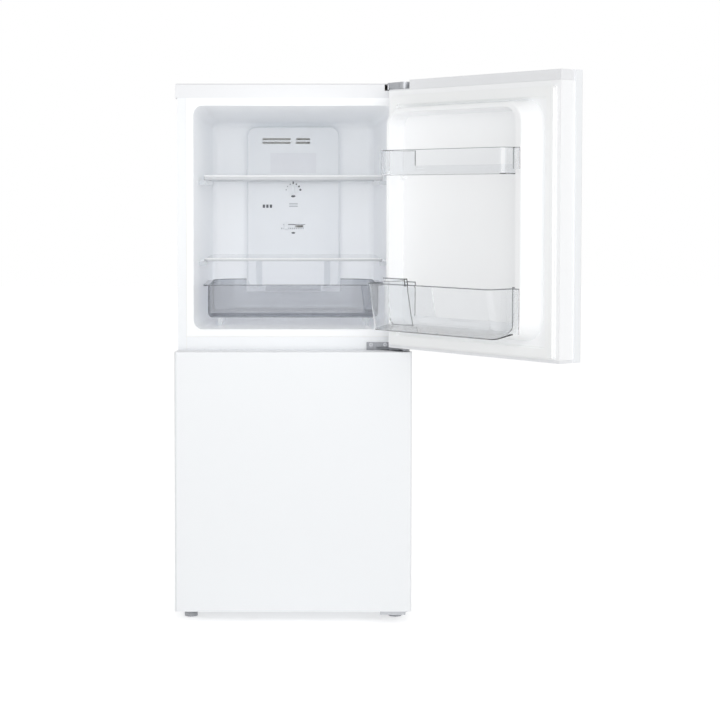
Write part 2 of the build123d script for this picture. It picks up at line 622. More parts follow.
LOWER_GLASS_Z = LEDGE_Z[1] + 1.2
with BuildPart() as lower_shelf_glass:
    with BuildSketch(at_z(LOWER_GLASS_Z)):
        shelf_plan(2.0)
    extrude(amount=GLASS)
    fillet(lower_shelf_glass.edges().filter_by(Axis.Z), 5.0)
keep(lower_shelf_glass, "lower_shelf_glass")

# Slim trim with rounded ends along the front edge of the lower shelf.
with BuildPart() as lower_shelf_trim:
    low = LEDGE_Z[1] + 0.3
    high = LOWER_GLASS_Z + GLASS + 1.2
    block((-SHELF_HALF, SHELF_HALF), (Y_SHELF, Y_SHELF + TRIM_DEPTH - 2), (low, high))
    fillet(lower_shelf_trim.edges().filter_by(Axis.Z).sort_by(Axis.Y)[:2], 9.0)
    fillet(lower_shelf_trim.faces().sort_by(Axis.Y)[0].edges().filter_by(Axis.X), 2.0)
    add(lower_shelf_glass.part, mode=Mode.SUBTRACT)
keep(lower_shelf_trim, "lower_shelf_trim")


def crisper_form(inset):
    """The crisper's outside, or its hollow when inset is its wall."""
    z0, z1 = CRISPER_Z
    half = CRISPER_HALF - inset
    y0, y1 = Y_SHELF + inset, Y_SHELF + CRISPER_DEPTH - inset
    with BuildPart() as form:
        block((-half, half), (y0, y1), (z0 + inset, z1 + (5 if inset else 0)))
        uprights = form.edges().filter_by(Axis.Z).sort_by(Axis.Y)
        fillet(uprights[-2:], CRISPER_BACK_RADIUS - inset)
        fillet(form.edges().filter_by(Axis.Z).sort_by(Axis.Y)[:2], 5.0 - inset)
        fillet(form.faces().sort_by(Axis.Z)[0].edges(), 11.0 - inset)
    return form.part


with BuildPart() as crisper_drawer:
    add(crisper_form(0.0))
    # rim flange all round, widest along the sides
    with BuildSketch(at_z(CRISPER_Z[1] - TUB)):
        wide = CRISPER_HALF + CRISPER_RIM
        span(-wide, wide, Y_SHELF - 2, Y_SHELF + CRISPER_DEPTH, 8.0)
        rim_end = Y_SHELF + CRISPER_DEPTH - 70
        span(-wide - 10, wide + 10, rim_end, rim_end + 172, mode=Mode.SUBTRACT)
    extrude(amount=TUB)
    add(crisper_form(TUB), mode=Mode.SUBTRACT)
    # the back wall is lower in the middle, clear of the duct cover
    block(
        (-SWELL_BACK - 20, SWELL_BACK + 20),
        (Y_SHELF + CRISPER_DEPTH - 10, Y_SHELF + CRISPER_DEPTH + 10),
        (CRISPER_Z[0] + CRISPER_BACK_HEIGHT, CRISPER_Z[1] + 10),
        Mode.SUBTRACT,
    )
    # grip lip turned down inside the front rim
    block((-60, 60), (Y_SHELF + TUB, Y_SHELF + 14), (CRISPER_Z[1] - TUB, CRISPER_Z[1]))
    block((-60, 60), (Y_SHELF + 12, Y_SHELF + 14), (CRISPER_Z[1] - 14, CRISPER_Z[1]))
keep(crisper_drawer, "crisper_drawer")


# ================================================================ freezer drawers
def freezer_drawer(z0, z1, rear):
    """An open tub with a taller, thicker front and side rims."""
    front = Y_FACE + DRAWER_FRONT
    with BuildPart() as tub:
        block((-DRAWER_HALF, DRAWER_HALF), (front, rear), (z0, z1 - 8))
        fillet(tub.edges().filter_by(Axis.Z), 14.0)
        fillet(tub.faces().sort_by(Axis.Z)[0].edges(), 6.0)
        offset(amount=-TUB, openings=tub.faces().sort_by(Axis.Z)[-1])
        rim = DRAWER_HALF + DRAWER_RIM
        for side in (-1, 1):
            edge = sorted((side * (DRAWER_HALF - TUB), side * rim))
            block(edge, (front + 10, rear - 14), (z1 - 8, z1 - 8 + TUB))
        block((-rim, rim), (front - 6, front + TUB), (z0 + 6, z1))
        grip = tub.faces().sort_by(Axis.Y)[0].edges().filter_by(Axis.X).sort_by(Axis.Z)[-1:]
        fillet(grip, 3.0)
        block((-70, 70), (front - 4, front + 24), (z1 - 22, z1 - 19))
        block((-70, 70), (front - 7, front - 3), (z1 - 50, z1 - 22), Mode.SUBTRACT)
    return tub


DRAWER_REARS = (Y_STEP - 12.0, Y_STEP - 12.0, Y_FREEZER_DUCT - 12.0)
DRAWER_NAMES = ("freezer_drawer_bottom", "freezer_drawer_middle", "freezer_drawer_top")
for name, (z0, z1), rear in zip(DRAWER_NAMES, DRAWER_Z, DRAWER_REARS):
    keep(freezer_drawer(z0, z1, rear), name)

# ================================================================ evaporator and fan
Y_COIL = Y_WALL - 24.0
passes = [EVAPORATOR_Z[0] + 12 + k * 19.0 for k in range(TUBE_PASSES)]
COIL_HALF = OPEN_HALF - COIL_SIDE_GAP
BEND = 19.0 / 2
HEATER_Z = EVAPORATOR_Z[0] - 12
SLEEVE_RADIUS = 7.0

with BuildPart() as evaporator_tube:
    with BuildLine() as route:
        for k, z in enumerate(passes):
            ends = (-COIL_HALF, COIL_HALF) if k % 2 == 0 else (COIL_HALF, -COIL_HALF)
            Line((ends[0], Y_COIL, z), (ends[1], Y_COIL, z))
            if k < TUBE_PASSES - 1:
                out = 1 if ends[1] > 0 else -1
                ThreePointArc(
                    (ends[1], Y_COIL, z),
                    (ends[1] + out * BEND, Y_COIL, z + BEND),
                    (ends[1], Y_COIL, z + 2 * BEND),
                )
    with BuildSketch(Plane(origin=(-COIL_HALF, Y_COIL, passes[0]), z_dir=(1, 0, 0))):
        Circle(TUBE_RADIUS)
    sweep(path=route.wires()[0])
keep(evaporator_tube, "evaporator_tube")

with BuildPart() as evaporator_fins:
    pitch = (2 * COIL_HALF - 10) / (FIN_COUNT - 1)
    for k in range(FIN_COUNT):
        x = -COIL_HALF + 5 + k * pitch
        with BuildSketch(at_x(x - FIN_THICK / 2)):
            span(Y_COIL - FIN_DEPTH / 2, Y_COIL + FIN_DEPTH / 2, *EVAPORATOR_Z)
            # the end plates reach the back wall and hold the heater's sleeves
            if k in (0, FIN_COUNT - 1):
                span(Y_COIL - 13, Y_WALL - 0.3, HEATER_Z - 10, EVAPORATOR_Z[1])
                with Locations((Y_COIL, HEATER_Z)):
                    Circle(SLEEVE_RADIUS + 0.1, mode=Mode.SUBTRACT)
            with Locations(*[(Y_COIL, z) for z in passes]):
                Circle(TUBE_RADIUS + 0.1, mode=Mode.SUBTRACT)
        extrude(amount=FIN_THICK)
keep(evaporator_fins, "evaporator_fins")

# Glass tube heater under the coil, with its end sleeves.
with BuildPart() as defrost_heater:
    with Locations(Location((0, Y_COIL, HEATER_Z), (0, 90, 0))):
        Cylinder(4.5, 2 * COIL_HALF)
        with Locations((0, 0, -COIL_HALF + 4), (0, 0, COIL_HALF - 4)):
            Cylinder(SLEEVE_RADIUS, 16.0)
keep(defrost_heater, "defrost_heater")

# Drain trough on the step, with the tube that runs through the foam to the evaporation tray.
with BuildPart() as drain_trough:
    z = Z_STEP + 0.2
    block((-COIL_HALF - 8, COIL_HALF + 8), (Y_COIL - 19, Y_COIL + 19), (z, z + 14))
    hollow = (-COIL_HALF - 6.5, COIL_HALF + 6.5)
    block(hollow, (Y_COIL - 17.5, Y_COIL + 17.5), (z + 1.5, z + 20), Mode.SUBTRACT)
    with Locations((0, Y_WALL - 22, z - 36)):
        Cylinder(7.0, 74.0)
    with Locations((0, Y_WALL - 22, z - 40)):
        Cylinder(5.5, 100.0, mode=Mode.SUBTRACT)
keep(drain_trough, "drain_trough")

# Panel in front of coil and fan, with return slots below and outlet slots above.
with BuildPart() as freezer_duct_cover:
    y = (Y_FREEZER_DUCT, Y_FREEZER_DUCT + 2.0)
    half = OPEN_HALF - 16.0
    block((-half, half), y, (Z_STEP + 0.3, FREEZER_Z[1] - 14))
    for side in (-1, 1):
        edge = sorted((side * (half - 2), side * half))
        block(edge, (Y_FREEZER_DUCT, Y_WALL - 22), (Z_STEP + 0.3, FREEZER_Z[1] - 14))
    for k in range(9):
        x = -120 + k * 30
        through = (y[0] - 1, y[1] + 1)
        for z in ((Z_STEP + 12, Z_STEP + 18), (FREEZER_Z[1] - 24, FREEZER_Z[1] - 18)):
            block((x - 11, x + 11), through, z, Mode.SUBTRACT)
    for ring in range(3):
        with BuildSketch(at_y(y[1] + 1)):
            with Locations((0, FAN_Z)):
                outer = FAN_RADIUS - 2 - ring * 11
                Circle(outer)
                Circle(outer - 7, mode=Mode.SUBTRACT)
            span(-2.5, 2.5, FAN_Z - 60, FAN_Z + 60, mode=Mode.SUBTRACT)
            span(-60, 60, FAN_Z - 2.5, FAN_Z + 2.5, mode=Mode.SUBTRACT)
        extrude(amount=4.0, mode=Mode.SUBTRACT)
keep(freezer_duct_cover, "freezer_duct_cover")

Y_FAN = Y_FREEZER_DUCT + 14.0
with BuildPart() as fan_motor:
    with Locations(Location((0, Y_FAN + 20.0, FAN_Z), (90, 0, 0))):
        Cylinder(19.0, 18.0)
    with Locations(Location((0, Y_FAN + 4.0, FAN_Z), (90, 0, 0))):
        Cylinder(2.0, 14.0)
    for angle in (90, 210, 330):
        dx, dz = cos(radians(angle)), sin(radians(angle))
        with BuildSketch(at_y(Y_FAN + 29.0)):
            with Locations(Location((28 * dx, FAN_Z + 28 * dz), angle)):
                Rectangle(38.0, 5.0)
        extrude(amount=3.0)
    with Locations(Location((0, Y_WALL - 4.3, FAN_Z), (90, 0, 0))):
        Cylinder(8.0, 8.0)
keep(fan_motor, "fan_motor")

with BuildPart() as fan_blades:
    with BuildSketch(at_y(Y_FAN + 6.0)):
        with Locations((0, FAN_Z)):
            Circle(13.0)
    extrude(amount=12.0)
    for k in range(BLADES):
        angle = 360.0 / BLADES * k
        middle = (FAN_RADIUS - 4 + 10) / 2
        dx, dz = cos(radians(angle)), sin(radians(angle))
        radial = Plane(origin=(10 * dx, Y_FAN, FAN_Z + 10 * dz), x_dir=(0, 1, 0), z_dir=(dx, 0, dz))
        with BuildSketch(radial):
            with Locations(Location((0, 0), 35)):
                Rectangle(1.6, 16.0)
        extrude(amount=FAN_RADIUS - 4 - 10)
    with Locations(Location((0, Y_FAN, FAN_Z), (90, 0, 0))):
        Cylinder(2.0 + RUNNING, 30.0, mode=Mode.SUBTRACT)
keep(fan_blades, "fan_blades")

# ================================================================ machine compartment
Y_COMPRESSOR = (Y_MACHINE + Y_BACK) / 2 + 6
with BuildPart() as compressor_shell:
    z0, z1 = COMPRESSOR_Z
    with BuildSketch(Plane(origin=(COMPRESSOR_X, Y_COMPRESSOR, 0), x_dir=(1, 0, 0), z_dir=(0, -1, 0))):
        with BuildLine():
            r = COMPRESSOR_RADIUS
            Line((0, z0), (r - 30, z0))
            ThreePointArc((r - 30, z0), (r - 9, z0 + 9), (r, z0 + 30))
            Line((r, z0 + 30), (r, z0 + 68))
            Line((r, z0 + 68), (r + 4, z0 + 68))
            Line((r + 4, z0 + 68), (r + 4, z0 + 72))
            Line((r + 4, z0 + 72), (r, z0 + 72))
            Line((r, z0 + 72), (r, z1 - 40))
            ThreePointArc((r, z1 - 40), (r - 13, z1 - 13), (r - 42, z1))
            Line((r - 42, z1), (0, z1))
            Line((0, z1), (0, z0))
        make_face()
    revolve(axis=Axis((COMPRESSOR_X, Y_COMPRESSOR, 0), (0, 0, 1)))
    # mounting foot plate
    with BuildSketch(at_z(z0 - 4)):
        with Locations((COMPRESSOR_X, Y_COMPRESSOR)):
            RectangleRounded(170.0, 126.0, 12.0)
            with GridLocations(146.0, 102.0, 2, 2):
                Circle(7.2, mode=Mode.SUBTRACT)
    extrude(amount=4.0)
keep(compressor_shell, "compressor_shell")

GROMMET_Z = COMPRESSOR_Z[0] - 4
with BuildPart() as compressor_grommets:
    with BuildSketch(at_z(LINER)):
        with Locations((COMPRESSOR_X, Y_COMPRESSOR)):
            with GridLocations(146.0, 102.0, 2, 2):
                Circle(11.0)
    extrude(amount=GROMMET_Z - LINER)
    with BuildSketch(at_z(GROMMET_Z)):
        with Locations((COMPRESSOR_X, Y_COMPRESSOR)):
            with GridLocations(146.0, 102.0, 2, 2):
                Circle(7.0)
    extrude(amount=6.0)
keep(compressor_grommets, "compressor_grommets")

with BuildPart() as compressor_terminal_cover:
    x = COMPRESSOR_X - COMPRESSOR_RADIUS - 0.3
    block((x - 34, x), (Y_COMPRESSOR - 28, Y_COMPRESSOR + 28), (60, 125))
    fillet(compressor_terminal_cover.faces().sort_by(Axis.X)[0].edges(), 6.0)
    with Locations((COMPRESSOR_X, Y_COMPRESSOR, 95)):
        Cylinder(COMPRESSOR_RADIUS + 4.3, 100, mode=Mode.SUBTRACT)
keep(compressor_terminal_cover, "compressor_terminal_cover")

# Condenser: wound tube on the left of the machine compartment, joined to the compressor's outlet.
with BuildPart() as condenser_tube:
    x0, x1 = -HALF + 19.0, COMPRESSOR_X - 135.0
    y1 = Y_BACK - 50
    route_points = [(x1, y1 - 60, 40.0), (x1, y1, 40.0), (x0, y1, 40.0), (x0, y1, 66.0)]
    route_points += [(x1, y1, 66.0), (x1, y1, 92.0), (x0, y1, 92.0), (x0, y1, 118.0), (x1, y1, 118.0)]
    with BuildLine() as coil:
        FilletPolyline(*route_points, radius=11.0)
    with BuildSketch(Plane(origin=route_points[0], z_dir=(0, 1, 0))):
        Circle(2.5)
    sweep(path=coil.wires()[0])
    # two strips that hold the coil and stand on the base pan
    for x in (x0 + 45.0, x1 - 50.0):
        block((x - 1, x + 1), (y1 - 6, y1 + 6), (LINER + 0.3, 124.0))
keep(condenser_tube, "condenser_tube")

with BuildPart() as evaporation_tray:
    z = COMPRESSOR_Z[1] + 0.3
    ends = (COMPRESSOR_X - 155, COMPRESSOR_X + 80)
    block(ends, (Y_MACHINE + 16, Y_BACK - 30), (z, z + 30))
    fillet(evaporation_tray.edges().filter_by(Axis.Z), 12.0)
    offset(amount=-2.0, openings=evaporation_tray.faces().sort_by(Axis.Z)[-1])
keep(evaporation_tray, "evaporation_tray")

GLAND = (-ROLLER_X, Y_BACK + 3.0, 24.0)
with BuildPart() as machine_cover:
    half = HALF - STEEL - 0.3
    block((-half, half), (Y_BACK - STEEL, Y_BACK), (LINER + 0.3, MACHINE_HEIGHT))
    for row in range(5):
        for k in range(13):
            x = (HALF - 46) * (k / 6 - 1)
            z = 50 + 30 * row
            block((x - 12, x + 12), (Y_BACK - 2, Y_BACK + 1), (z - 2.5, z + 2.5), Mode.SUBTRACT)
    with Locations(Location(GLAND, (90, 0, 0))):
        Cylinder(4.0, 10.0, mode=Mode.SUBTRACT)
keep(machine_cover, "machine_cover")

# Gland where the power lead enters.
with BuildPart() as cord_gland:
    with Locations(Location(GLAND, (90, 0, 0))):
        Cylinder(9.0, 6.0)
        Cylinder(4.0, 10.0, mode=Mode.SUBTRACT)
keep(cord_gland, "cord_gland")


# ================================================================ hinges
def hinge_arm(x0, x1, y_end, z):
    """Flat hinge arm: a round nose at the pin, widening back to the cabinet."""
    with BuildPart() as arm:
        with BuildSketch(at_z(z)):
            with BuildLine():
                Polyline(
                    (x0, y_end),
                    (x0, Y_FACE - 2),
                    (PIVOT[0] - HINGE_NOSE, PIVOT[1]),
                    (PIVOT[0] + HINGE_NOSE, PIVOT[1]),
                    (x1, Y_FACE - 2),
                    (x1, y_end),
                    close=True,
                )
            make_face()
            with Locations(PIVOT):
                Circle(HINGE_NOSE)
                Circle(PIN_RADIUS, mode=Mode.SUBTRACT)
        extrude(amount=PLATE)
    return arm.part


with BuildPart() as middle_hinge:
    add(hinge_arm(PIVOT[0] - 58, PIVOT[0] - 4, Y_FACE - 1.0, MIDDLE_ARM_Z))
    # face plate on the crossbar
    face = (PIVOT[0] - 77, PIVOT[0] - 29)
    block(face, (Y_FACE - PLATE, Y_FACE - 0.0), (MIDDLE_ARM_Z - 4, MIDDLE_ARM_Z + 13))
    with BuildSketch(at_y(Y_FACE + 5)):
        with Locations(*MIDDLE_SCREWS):
            Circle(SCREW_HOLE)
    extrude(amount=20.0, mode=Mode.SUBTRACT)
keep(middle_hinge, "middle_hinge")

with BuildPart() as top_hinge:
    add(hinge_arm(PIVOT[0] - 34, PIVOT[0] - 4, Y_FACE + 20.0, TOP_ARM_Z))
    # edge turned up along the inner side of the arm and round its nose
    inner, nose_x = PIVOT[0] - 34, PIVOT[0] - HINGE_NOSE
    block((inner, inner + ARM_RIM), (Y_FACE - 8, Y_FACE + 20), (TOP_ARM_Z, TOP_ARM_Z + 10))
    with BuildSketch(at_z(TOP_ARM_Z + PLATE)):
        Polygon(
            (inner, Y_FACE - 5),
            (nose_x, PIVOT[1]),
            (nose_x + ARM_RIM, PIVOT[1]),
            (inner + ARM_RIM, Y_FACE - 5),
            align=None,
        )
        with Locations(PIVOT):
            Circle(HINGE_NOSE)
            Circle(HINGE_NOSE - ARM_RIM, mode=Mode.SUBTRACT)
        # the outer side stays open
        span(nose_x + ARM_RIM, PIVOT[0] + 20, PIVOT[1], PIVOT[1] + 20, mode=Mode.SUBTRACT)
    extrude(amount=UPPER_DOOR_Z[1] - 1.0 - TOP_ARM_Z - PLATE)
    # step down to the cabinet's top
    block((PIVOT[0] - 34, PIVOT[0] - 4), (Y_FACE + 17, Y_FACE + 20), (CABINET_TOP, TOP_ARM_Z + PLATE))
    block((PIVOT[0] - 64, PIVOT[0] - 4), (Y_FACE + 17, Y_FACE + 80), (CABINET_TOP, CABINET_TOP + PLATE))
    with BuildSketch(at_z(CABINET_TOP - 5)):
        with Locations(*TOP_SCREWS):
            Circle(SCREW_HOLE)
    extrude(amount=10.0, mode=Mode.SUBTRACT)
keep(top_hinge, "top_hinge")

with BuildPart() as bottom_hinge:
    plate_x = (PIVOT[0] - 50, PIVOT[0] + 4)
    nose_y = PIVOT[1] - HINGE_NOSE - 2
    with BuildSketch(at_z(-PLATE)):
        span(*plate_x, nose_y, Y_FACE + 34)
        with Locations(PIVOT):
            Circle(HINGE_NOSE)
            Circle(PIN_RADIUS, mode=Mode.SUBTRACT)
        # the foot's stud passes through the plate
        with Locations((FOOT_X, FOOT_Y)):
            Circle(STUD_RADIUS + 0.6, mode=Mode.SUBTRACT)
        with Locations(*BOTTOM_SCREWS):
            Circle(SCREW_HOLE, mode=Mode.SUBTRACT)
    extrude(amount=PLATE)
    # front edge turned down
    block(plate_x, (nose_y, nose_y + PLATE), (-PLATE - 5, -PLATE))
keep(bottom_hinge, "bottom_hinge")

# Three steel pins: each passes its plate and stands in the door bushes.
TOP_PIN = (UPPER_DOOR_Z[1] - NOTCH[1] - PIN_REACH, TOP_ARM_Z + PLATE + 4)
MIDDLE_PIN = (LOWER_DOOR_Z[1] - PIN_REACH, UPPER_DOOR_Z[0] + PIN_REACH)
BOTTOM_PIN = (-PLATE - 3.0, LOWER_DOOR_Z[0] + PIN_REACH)
PINS = (BOTTOM_PIN, MIDDLE_PIN, TOP_PIN)
with BuildPart() as hinge_pins:
    for z0, z1 in PINS:
        with Locations((PIVOT[0], PIVOT[1], (z0 + z1) / 2)):
            Cylinder(PIN_RADIUS, z1 - z0)
keep(hinge_pins, "hinge_pins")

# Screws of the hinges: pan heads with a cross recess.
with BuildPart() as hinge_screws:
    for x, z in MIDDLE_SCREWS:
        place = Location((x, Y_FACE - PLATE, z), (90, 0, 0))
        with Locations(place):
            Cylinder(4.2, 2.4, align=(Align.CENTER, Align.CENTER, Align.MIN))
            Cylinder(2.5, 8.0, align=(Align.CENTER, Align.CENTER, Align.MAX))
            Box(0.9, 5.0, 5.0, mode=Mode.SUBTRACT)
            Box(5.0, 0.9, 5.0, mode=Mode.SUBTRACT)
    for x, y in TOP_SCREWS:
        with Locations((x, y, CABINET_TOP + PLATE)):
            Cylinder(4.2, 2.4, align=(Align.CENTER, Align.CENTER, Align.MIN))
            Cylinder(2.5, PLATE, align=(Align.CENTER, Align.CENTER, Align.MAX))
    for x, y in BOTTOM_SCREWS:
        with Locations((x, y, -PLATE)):
            Cylinder(4.2, 2.4, align=(Align.CENTER, Align.CENTER, Align.MAX))
            Cylinder(2.5, PLATE, align=(Align.CENTER, Align.CENTER, Align.MIN))
keep(hinge_screws, "hinge_screws")


# ================================================================ doors
class DoorShape:
    """The sizes that differ between the two doors."""

    def __init__(self, z, caps, dyke, panel, frame_outer, frame_crest, pocket, pocket_foot):
        self.z = z
        self.caps = caps
        self.dyke = dyke
        self.panel = panel
        self.frame_outer = frame_outer
        self.frame_crest = frame_crest
        self.pocket = pocket
        self.pocket_foot = pocket_foot


def in_opening(opening, free, hinge, low, high, radius):
    """Rounded rectangle inside a compartment's opening, by its distance from each edge."""
    z0, z1 = opening
    return (free - OPEN_HALF, OPEN_HALF - hinge, z0 + low, z1 - high, radius)


UPPER = DoorShape(
    UPPER_DOOR_Z,
    CAP_HEIGHT,
    DYKE,
    PANEL,
    # raised frame at its base and at its crest, then the pocket inside it at crest and panel
    in_opening(FRIDGE_Z, 7.5, 2.0, 4.5, 7.0, 45.0),
    in_opening(FRIDGE_Z, 23.5, 6.5, 12.0, 11.0, 40.0),
    in_opening(FRIDGE_Z, 39.0, 17.0, 17.5, 19.0, 30.0),
    in_opening(FRIDGE_Z, 41.3, 19.3, 17.5, 27.0, 28.0),
)
LOWER = DoorShape(
    LOWER_DOOR_Z,
    LOWER_CAP_HEIGHT,
    22.0,
    0.0,
    in_opening(FREEZER_Z, 10.0, 5.0, 10.0, 10.0, 30.0),
    in_opening(FREEZER_Z, 16.0, 8.0, 14.0, 14.0, 27.0),
    None,
    None,
)


def door_form(shape, inset):
    """The door's inner side as a solid from the skin's return inwards, less inset all round."""
    y0 = Y_FRONT + SKIN_RETURN
    z0 = shape.z[0] + shape.caps[1] + FIT
    z1 = shape.z[1] - shape.caps[0] - FIT
    half = DOOR_HALF - LINER_INSET - inset

    def shrink(rect, by):
        x0, x1, zl, zh, radius = rect
        return (x0 + by, x1 - by, zl + by, zh - by, radius - by)

    with BuildPart() as form:
        block((-half, half), (y0, Y_DOOR - inset), (z0 + inset, z1 - inset))
        add(
            tapered(
                Y_DOOR - inset - 0.5,
                shrink(shape.frame_outer, inset),
                Y_DOOR + shape.dyke - inset,
                shrink(shape.frame_crest, inset),
            )
        )
        if not inset:
            crest = form.faces().sort_by(Axis.Y)[-1].edges()
            fillet(crest, 5.0)
        if shape.pocket:
            add(
                tapered(
                    Y_DOOR + shape.panel - inset,
                    shrink(shape.pocket_foot, -inset),
                    Y_DOOR + shape.dyke + 6.0,
                    shrink(shape.pocket, -inset),
                ),
                mode=Mode.SUBTRACT,
            )
    return form.part


def door_skin(shape):
    """Steel skin: front with rounded corners and side returns, open at top and bottom."""
    z0, z1 = shape.z
    with BuildPart() as skin:
        with BuildSketch(at_z(z0)):
            span(-DOOR_HALF, DOOR_HALF, Y_FRONT, Y_FRONT + SKIN_RETURN)
        extrude(amount=z1 - z0)
        front_edges = skin.edges().filter_by(Axis.Z).sort_by(Axis.Y)[:2]
        fillet(front_edges, SKIN_RADIUS)
        with BuildPart(mode=Mode.PRIVATE) as hollow:
            block(
                (-DOOR_HALF + STEEL, DOOR_HALF - STEEL),
                (Y_FRONT + STEEL, Y_FRONT + SKIN_RETURN + 1),
                (z0 - 1, z1 + 1),
            )
            fillet(hollow.edges().filter_by(Axis.Z).sort_by(Axis.Y)[:2], SKIN_RADIUS - STEEL)
        add(hollow.part, mode=Mode.SUBTRACT)
        # edge of each return folded in
        for side in (-1, 1):
            hem = sorted((side * DOOR_HALF, side * (DOOR_HALF - LINER_INSET - LINER)))
            block(hem, (Y_FRONT + SKIN_RETURN - STEEL, Y_FRONT + SKIN_RETURN), (z0, z1))
    return skin


def cap_plan(mode=Mode.ADD):
    """Door section inside the skin, seen from above, in two steps."""
    edge = STEEL + FIT
    half = DOOR_HALF - edge
    span(-half, half, Y_FRONT + edge, Y_FRONT + SKIN_RETURN - STEEL - FIT, mode=mode)
    half = DOOR_HALF - LINER_INSET
    span(-half + 2.5, half - 2.5, Y_FRONT + 12, Y_FRONT + SKIN_RETURN + 3, mode=mode)
    span(-half, half, Y_FRONT + SKIN_RETURN, Y_DOOR, mode=mode)


def door_caps(shape, notch=False):
    """Moulded top and bottom caps, with the bush bores for the hinge pins."""
    z0, z1 = shape.z
    with BuildPart() as caps:
        with BuildSketch(at_z(z0)):
            cap_plan()
        extrude(amount=shape.caps[1])
        with BuildSketch(at_z(z1 - shape.caps[0])):
            cap_plan()
        extrude(amount=shape.caps[0])
        fronts = [e for e in caps.edges().filter_by(Axis.Z) if e.center().Y < Y_FRONT + 2]
        fillet(fronts, SKIN_RADIUS - STEEL - FIT)
        # bosses that carry the bush bores down into the foam
        for z, up in ((z0, 1), (z1 - (NOTCH[1] if notch else 0), -1)):
            deep = PIN_REACH + 5.0
            with Locations((PIVOT[0], PIVOT[1], z + up * deep / 2)):
                Cylinder(PIN_RADIUS + 5.0, deep)
        if notch:
            # well under the notch, so that the cap keeps a floor there
            block(
                (DOOR_HALF - NOTCH[0] - 2, DOOR_HALF - LINER_INSET),
                (Y_FRONT + SKIN_RETURN + 0.5, Y_DOOR),
                (z1 - NOTCH[1] - 2.0, z1 - shape.caps[0] + 1),
            )
            block(
                (DOOR_HALF - NOTCH[0], DOOR_HALF + 1),
                (Y_FRONT + 7.0, Y_DOOR + 1),
                (z1 - NOTCH[1], z1 + 1),
                Mode.SUBTRACT,
            )
        for z, up in ((z0, 1), (z1 - (NOTCH[1] if notch else 0), -1)):
            with Locations((PIVOT[0], PIVOT[1], z + up * PIN_REACH / 2)):
                Cylinder(PIN_RADIUS + RUNNING, PIN_REACH + 2.0, mode=Mode.SUBTRACT)
    return caps


def door_gasket(shape):
    """Magnetic gasket: a flat base with a raised bulb that meets the cabinet face."""
    x = DOOR_HALF - GASKET_EDGE
    z0 = shape.z[0] + shape.caps[1] + 1.0
    # its bulb stays on the steel face, below the top cover
    z1 = min(shape.z[1] - shape.caps[0] - 1.0, CABINET_TOP + 2.0)
    with BuildPart() as gasket:
        with BuildSketch(at_y(Y_DOOR + 2.5)):
            span(-x, x, z0, z1, 4.0)
            w = GASKET_WIDTH
            span(-x + w, x - w, z0 + w, z1 - w, 3.0, mode=Mode.SUBTRACT)
        extrude(amount=2.5)
        with BuildSketch(at_y(Y_FACE - 0.5)):
            span(-x + 3, x - 3, z0 + 3, z1 - 3, 3.0)
            w = GASKET_WIDTH - 4
            span(-x + w, x - w, z0 + w, z1 - w, 3.0, mode=Mode.SUBTRACT)
        extrude(amount=GASKET_GAP - 3.0)
    return gasket


def door_foam(shape, caps):
    """Foam that fills the door between skin, caps and liner."""
    z0, z1 = shape.z
    with BuildPart() as foam:
        add(door_form(shape, LINER))
        low, high = z0 + shape.caps[1], z1 - shape.caps[0]
        block(
            (-DOOR_HALF + SKIN_RADIUS, DOOR_HALF - SKIN_RADIUS),
            (Y_FRONT + STEEL, Y_FRONT + SKIN_RETURN),
            (low, high),
        )
        add(caps.part, mode=Mode.SUBTRACT)
        for z in (z0, z1):
            with Locations((PIVOT[0], PIVOT[1], z)):
                Cylinder(PIN_RADIUS + 5.2, 2 * (PIN_REACH + NOTCH[1]), mode=Mode.SUBTRACT)
    foam.part = foam.part.solids().sort_by(SortBy.VOLUME)[-1]
    return foam


def door_liner(shape):
    """Vacuum formed inner liner."""
    with BuildPart() as liner:
        add(door_form(shape, 0.0))
        add(door_form(shape, LINER), mode=Mode.SUBTRACT)
        half = DOOR_HALF - LINER_INSET - LINER
        z0 = shape.z[0] + shape.caps[1] + FIT + LINER
        z1 = shape.z[1] - shape.caps[0] - FIT - LINER
        block((-half, half), (Y_FRONT, Y_DOOR - 10), (z0, z1), Mode.SUBTRACT)
        if shape.pocket:
            # two lugs on the pocket's walls that the upper bin stands on
            x0, x1 = shape.pocket_foot[:2]
            for lug in ((x0 - 0.6, x0 + 11), (x1 - 11, x1 + 0.6)):
                y = Y_DOOR + shape.panel
                block(lug, (y - 0.5, y + 8), (UPPER_BIN_Z[0] - 6, UPPER_BIN_Z[0] - 0.3))
        # room for the caps' pin bosses
        for z in shape.z:
            with Locations((PIVOT[0], PIVOT[1], z)):
                Cylinder(PIN_RADIUS + 5.2, 2 * (PIN_REACH + NOTCH[1]), mode=Mode.SUBTRACT)
    return liner


for label, shape, swing, notched in (
    ("fridge_door", UPPER, DOOR_OPEN, True),
    ("freezer_door", LOWER, 0.0, False),
):
    skin = door_skin(shape)
    caps = door_caps(shape, notched)
    liner = door_liner(shape)
    gasket = door_gasket(shape)
    foam = door_foam(shape, caps)
    if notched:
        well = Box(
            NOTCH[0] + 1,
            DOOR_THICKNESS,
            NOTCH[1] + 1,
            align=(Align.MAX, Align.MIN, Align.MAX),
            mode=Mode.PRIVATE,
        )
        notch_box = Pos(DOOR_HALF + 1, Y_FRONT + 7.0, shape.z[1] + 1) * well
        skin.part = skin.part - notch_box
    keep(skin, f"{label}_skin", swing)
    keep(caps, f"{label}_caps", swing)
    keep(liner, f"{label}_liner", swing)
    keep(gasket, f"{label}_gasket", swing)
    keep(foam, f"{label}_foam", swing)


# ================================================================ door bins
BIN_X = (UPPER.pocket[0] + BIN_GAP + 2.0, UPPER.pocket[1] - BIN_GAP - 2.0)
Y_PANEL = Y_DOOR + PANEL
Y_CREST = Y_DOOR + DYKE


